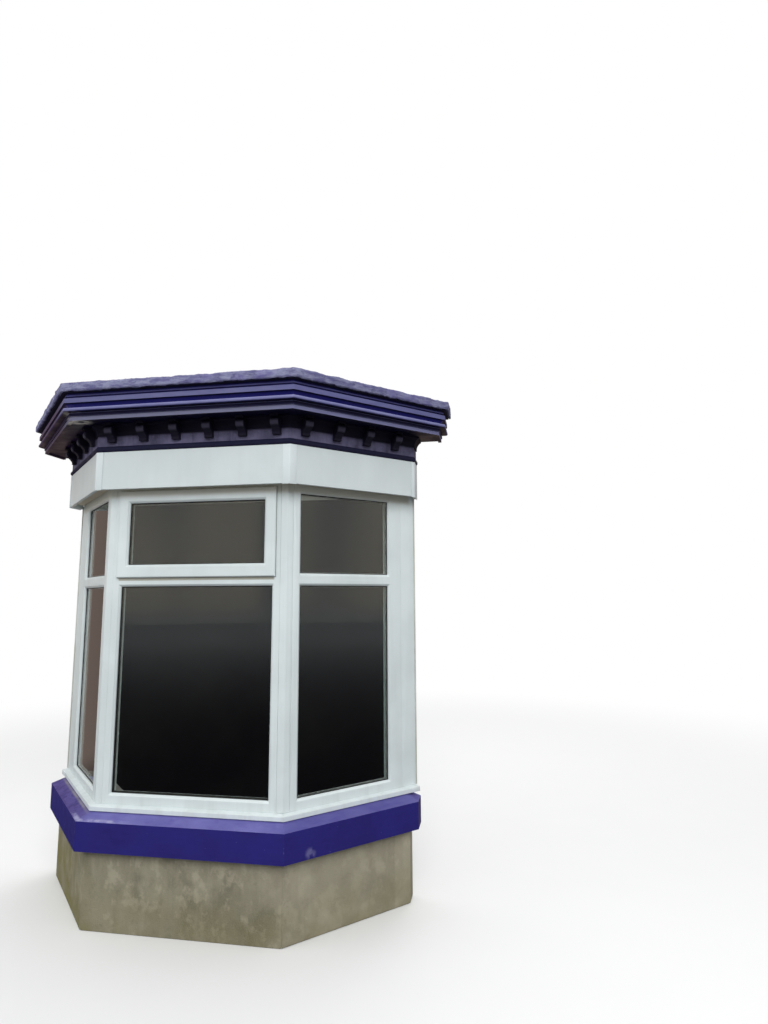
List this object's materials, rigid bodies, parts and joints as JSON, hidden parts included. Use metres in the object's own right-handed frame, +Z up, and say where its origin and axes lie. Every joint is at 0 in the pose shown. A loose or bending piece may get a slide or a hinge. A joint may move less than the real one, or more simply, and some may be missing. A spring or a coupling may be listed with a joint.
{
  "type": "bay window",
  "caption": "Canted bay window with white framed windows on a rendered dwarf wall, a painted stone sill and a purple moulded cornice on scrolled brackets.",
  "frame": {"origin": "on the ground, at the centre of the bay's width and depth", "axes": "+X to the right along the house wall as seen from the street, +Y towards the house, +Z up"},
  "size_m": [2.83, 0.953, 3.049],
  "materials": {
    "render": "rough cement render, streaked and damp",
    "purple_paint": "painted stone, semi-gloss, scuffed",
    "white_pvc": "satin white",
    "timber": "sawn softwood, hidden",
    "frieze_paint": "dull dark violet paint, weathered",
    "cornice_paint": "purple paint, semi-gloss, weathered",
    "roof_paint": "painted sheet covering, ragged edge",
    "glass": "clear sealed units, dark room behind",
    "plaster": "painted plasterboard"
  },
  "bodies": {
    "root": {"ceiling_board": "plaster", "cill_front": "white_pvc", "cill_left": "white_pvc", "cill_right": "white_pvc", "corner_post_left": "white_pvc", "corner_post_right": "white_pvc", "cornice_front": "cornice_paint", "cornice_left": "cornice_paint", "cornice_right": "cornice_paint", "end_stud_left": "timber", "end_stud_right": "timber", "end_trim_left": "white_pvc", "end_trim_right": "white_pvc", "fanlight_sash": "white_pvc", "fascia_front": "white_pvc", "fascia_left": "white_pvc", "fascia_right": "white_pvc", "frame_front": "white_pvc", "frame_left": "white_pvc", "frame_right": "white_pvc", "frieze_front": "frieze_paint", "frieze_left": "frieze_paint", "frieze_right": "frieze_paint", "glass_fanlight": "glass", "glass_front_lower": "glass", "glass_lower_left": "glass", "glass_lower_right": "glass", "glass_upper_left": "glass", "glass_upper_right": "glass", "head_front": "timber", "head_left": "timber", "head_right": "timber", "roof_covering": "roof_paint", "roof_deck": "timber", "sill_front": "purple_paint", "sill_left": "purple_paint", "sill_right": "purple_paint", "wall_front": "render", "wall_left": "render", "wall_right": "render", "window_board": "white_pvc"}
  },
  "joints": []
}
